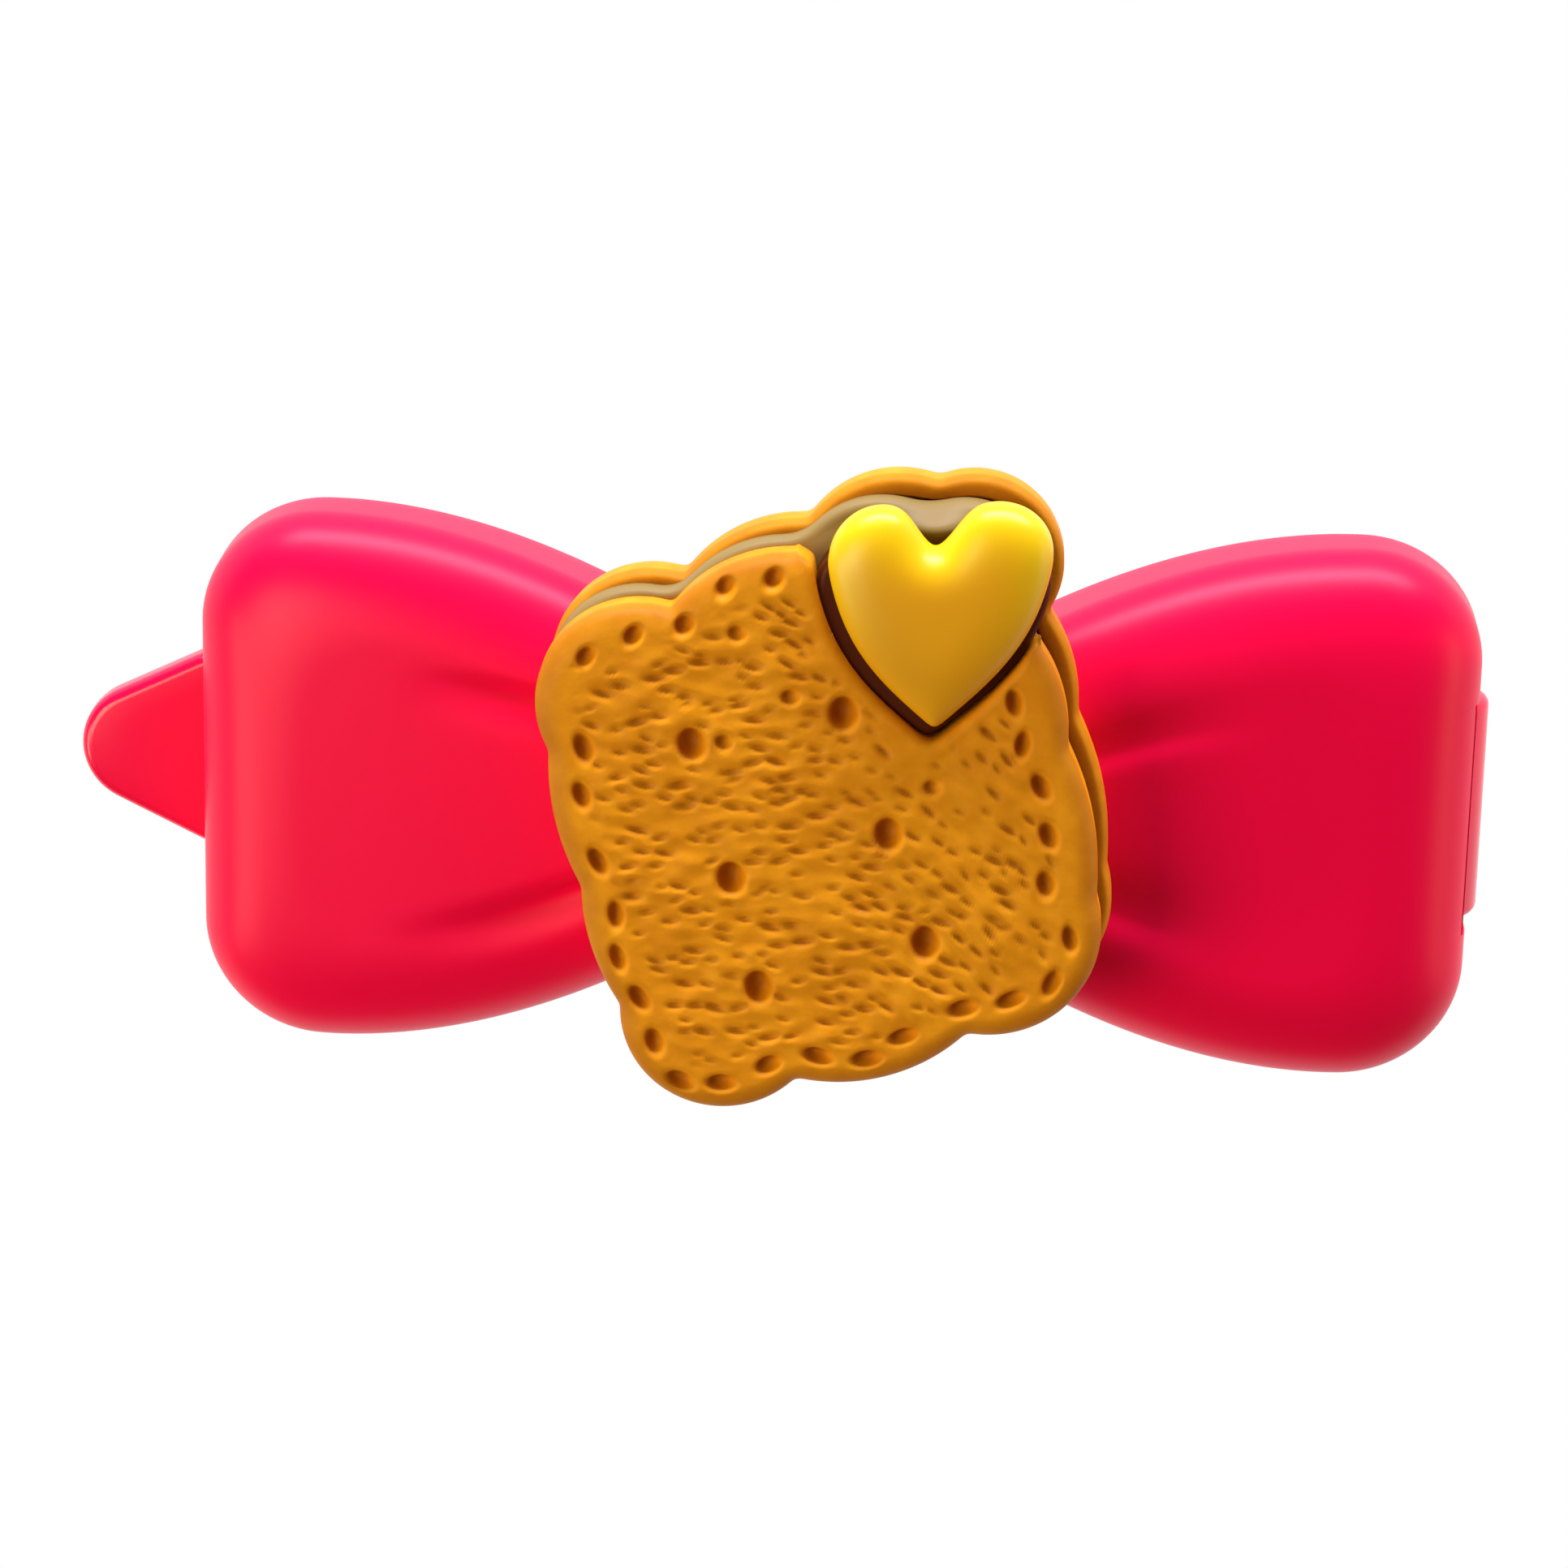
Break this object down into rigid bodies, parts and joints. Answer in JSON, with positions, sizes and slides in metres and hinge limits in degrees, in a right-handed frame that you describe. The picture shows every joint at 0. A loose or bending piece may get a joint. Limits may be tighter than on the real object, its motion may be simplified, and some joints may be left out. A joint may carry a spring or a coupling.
{
  "type": "bow hair clip with toy smore",
  "caption": "Moulded plastic bow-shaped snap hair clip with a toy smore and a heart on its middle; a clasp arm hinges under the bow.",
  "frame": {"origin": "under the middle of the bow, on the flat underside of the clasp arm, which the clip lies on", "axes": "+X along the bow towards the hinge, +Y up the bow as it is worn, +Z from the clasp arm to the smore"},
  "size_m": [0.0602, 0.0273, 0.0154],
  "materials": {
    "pink_plastic": "satin gloss, moulded",
    "cracker_plastic": "satin, moulded with a crumb texture",
    "filling_plastic": "satin",
    "brown_plastic": "satin",
    "yellow_plastic": "soft gloss"
  },
  "bodies": {
    "clasp": {"clasp_arm": "pink_plastic"},
    "bow_and_smore": {"bow": "pink_plastic", "cracker_back": "cracker_plastic", "filling": "filling_plastic", "cracker_front": "cracker_plastic", "brown_heart": "brown_plastic", "yellow_heart": "yellow_plastic"}
  },
  "joints": [
    {"name": "clasp_hinge", "type": "hinge", "parent": "clasp", "child": "bow_and_smore", "pos_m": [0.0252, 0, 0.0023], "axis": [0, 1, 0], "range_deg": [0, 100]}
  ]
}
